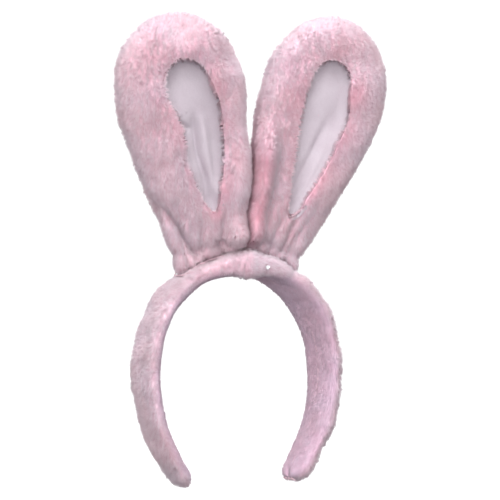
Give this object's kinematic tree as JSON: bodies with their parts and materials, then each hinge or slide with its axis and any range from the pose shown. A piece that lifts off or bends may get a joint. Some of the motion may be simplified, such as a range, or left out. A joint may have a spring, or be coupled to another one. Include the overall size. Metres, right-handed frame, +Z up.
{
  "type": "animal ears headband",
  "caption": "Headband with two upright plush rabbit ears: a springy padded hoop in a plush tube, worn over the head. The ears tilt and the sides spring open.",
  "frame": {"origin": "on the hoop's inner face at the top, where it rests on the head", "axes": "+Z up, the front (the ears' pale panels) faces -Y, +X to the right as seen from the front"},
  "size_m": [0.1925, 0.0451, 0.3034],
  "materials": {
    "pink_plush": "short dense faux fur, soft and matt",
    "pale_velour": "smooth short velour, pale lavender white",
    "wadding": "white polyester wadding",
    "hoop_plastic": "moulded, satin",
    "coated_wire": "plain drawn wire",
    "pink_thread": "matt polyester thread",
    "clear_thread": "clear nylon thread knot"
  },
  "bodies": {
    "crown": {"band_core_crown": "hoop_plastic", "band_wadding_crown": "wadding", "band_cover_crown": "pink_plush", "band_seam_crown": "pink_thread", "thread_knot": "clear_thread", "ear_left_wire_foot": "coated_wire", "ear_left_base_stitches": "pink_thread", "ear_right_wire_foot": "coated_wire", "ear_right_base_stitches": "pink_thread"},
    "arm_left": {"band_core_arm_left": "hoop_plastic", "band_wadding_arm_left": "wadding", "band_cover_arm_left": "pink_plush", "band_seam_arm_left": "pink_thread", "end_stitches_left": "pink_thread"},
    "ear_left": {"ear_left_back_panel": "pink_plush", "ear_left_front_border": "pink_plush", "ear_left_inner_panel": "pale_velour", "ear_left_panel_seam": "pink_thread", "ear_left_stuffing": "wadding", "ear_left_wire": "coated_wire", "ear_left_gather_thread": "pink_thread"},
    "arm_right": {"band_core_arm_right": "hoop_plastic", "band_wadding_arm_right": "wadding", "band_cover_arm_right": "pink_plush", "band_seam_arm_right": "pink_thread", "end_stitches_right": "pink_thread"},
    "ear_right": {"ear_right_back_panel": "pink_plush", "ear_right_front_border": "pink_plush", "ear_right_inner_panel": "pale_velour", "ear_right_panel_seam": "pink_thread", "ear_right_stuffing": "wadding", "ear_right_wire": "coated_wire", "ear_right_gather_thread": "pink_thread"}
  },
  "joints": [
    {"name": "arm_left_flex", "type": "hinge", "parent": "crown", "child": "arm_left", "pos_m": [-0.05585, 0, -0.01582], "axis": [0, 1, 0], "range_deg": [0, 15], "stiffness_Nm_per_rad": 1},
    {"name": "arm_right_flex", "type": "hinge", "parent": "crown", "child": "arm_right", "pos_m": [0.05585, 0, -0.01582], "axis": [0, -1, 0], "range_deg": [0, 15], "stiffness_Nm_per_rad": 1},
    {"name": "ear_left_tilt", "type": "hinge", "parent": "crown", "child": "ear_left", "pos_m": [-0.02397, 0, 0.0203], "axis": [1, 0, 0], "range_deg": [-35, 40]},
    {"name": "ear_right_tilt", "type": "hinge", "parent": "crown", "child": "ear_right", "pos_m": [0.02127, 0, 0.0203], "axis": [1, 0, 0], "range_deg": [-35, 40]}
  ]
}
